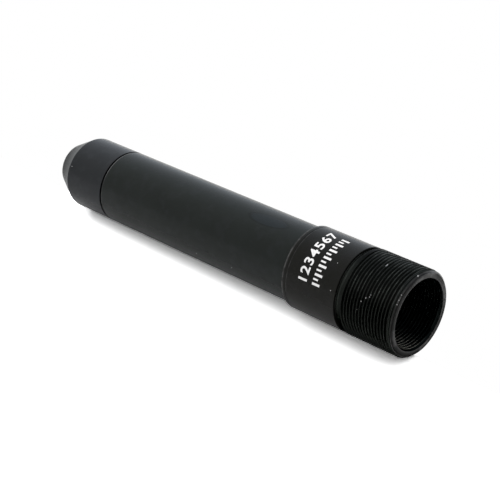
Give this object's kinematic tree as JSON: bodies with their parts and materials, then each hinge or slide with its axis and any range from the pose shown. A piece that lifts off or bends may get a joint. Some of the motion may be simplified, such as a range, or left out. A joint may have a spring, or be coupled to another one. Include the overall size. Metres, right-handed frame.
{
  "type": "inspection camera lens",
  "caption": "Slim black tube lens with a fine-threaded rear barrel and collar, a long plain tube and a cone nose with a small front opening.",
  "frame": {"origin": "centre of the rear face, on the optical axis, where the lens stands on its threaded end", "axes": "+Z along the optical axis from the rear face to the nose; X and Y are alike"},
  "size_m": [0.012, 0.012, 0.0667],
  "materials": {
    "collar_black": "black anodised, fine blasted",
    "tube_black": "black anodised, fine blasted",
    "nose_black": "black anodised, fine blasted",
    "inner_black": "matt black anodised",
    "stop_brass": "blackened",
    "coated_glass": "polished, anti-reflection coated",
    "plain_glass": "polished",
    "flint_glass": "polished"
  },
  "bodies": {
    "root": {"rear_mount": "collar_black", "main_tube": "tube_black", "front_nose": "nose_black", "front_element": "coated_glass", "front_spacer": "inner_black", "aperture_stop": "stop_brass", "doublet_spacer": "inner_black", "doublet_crown": "plain_glass", "doublet_flint": "flint_glass", "objective_lock_ring": "inner_black", "rear_lens_positive": "plain_glass", "rear_lens_spacer": "inner_black", "rear_lens_negative": "coated_glass", "rear_lock_ring": "inner_black", "baffle_sleeve_1": "inner_black", "baffle_1": "inner_black", "baffle_sleeve_2": "inner_black", "baffle_2": "inner_black", "baffle_sleeve_3": "inner_black"}
  },
  "joints": []
}
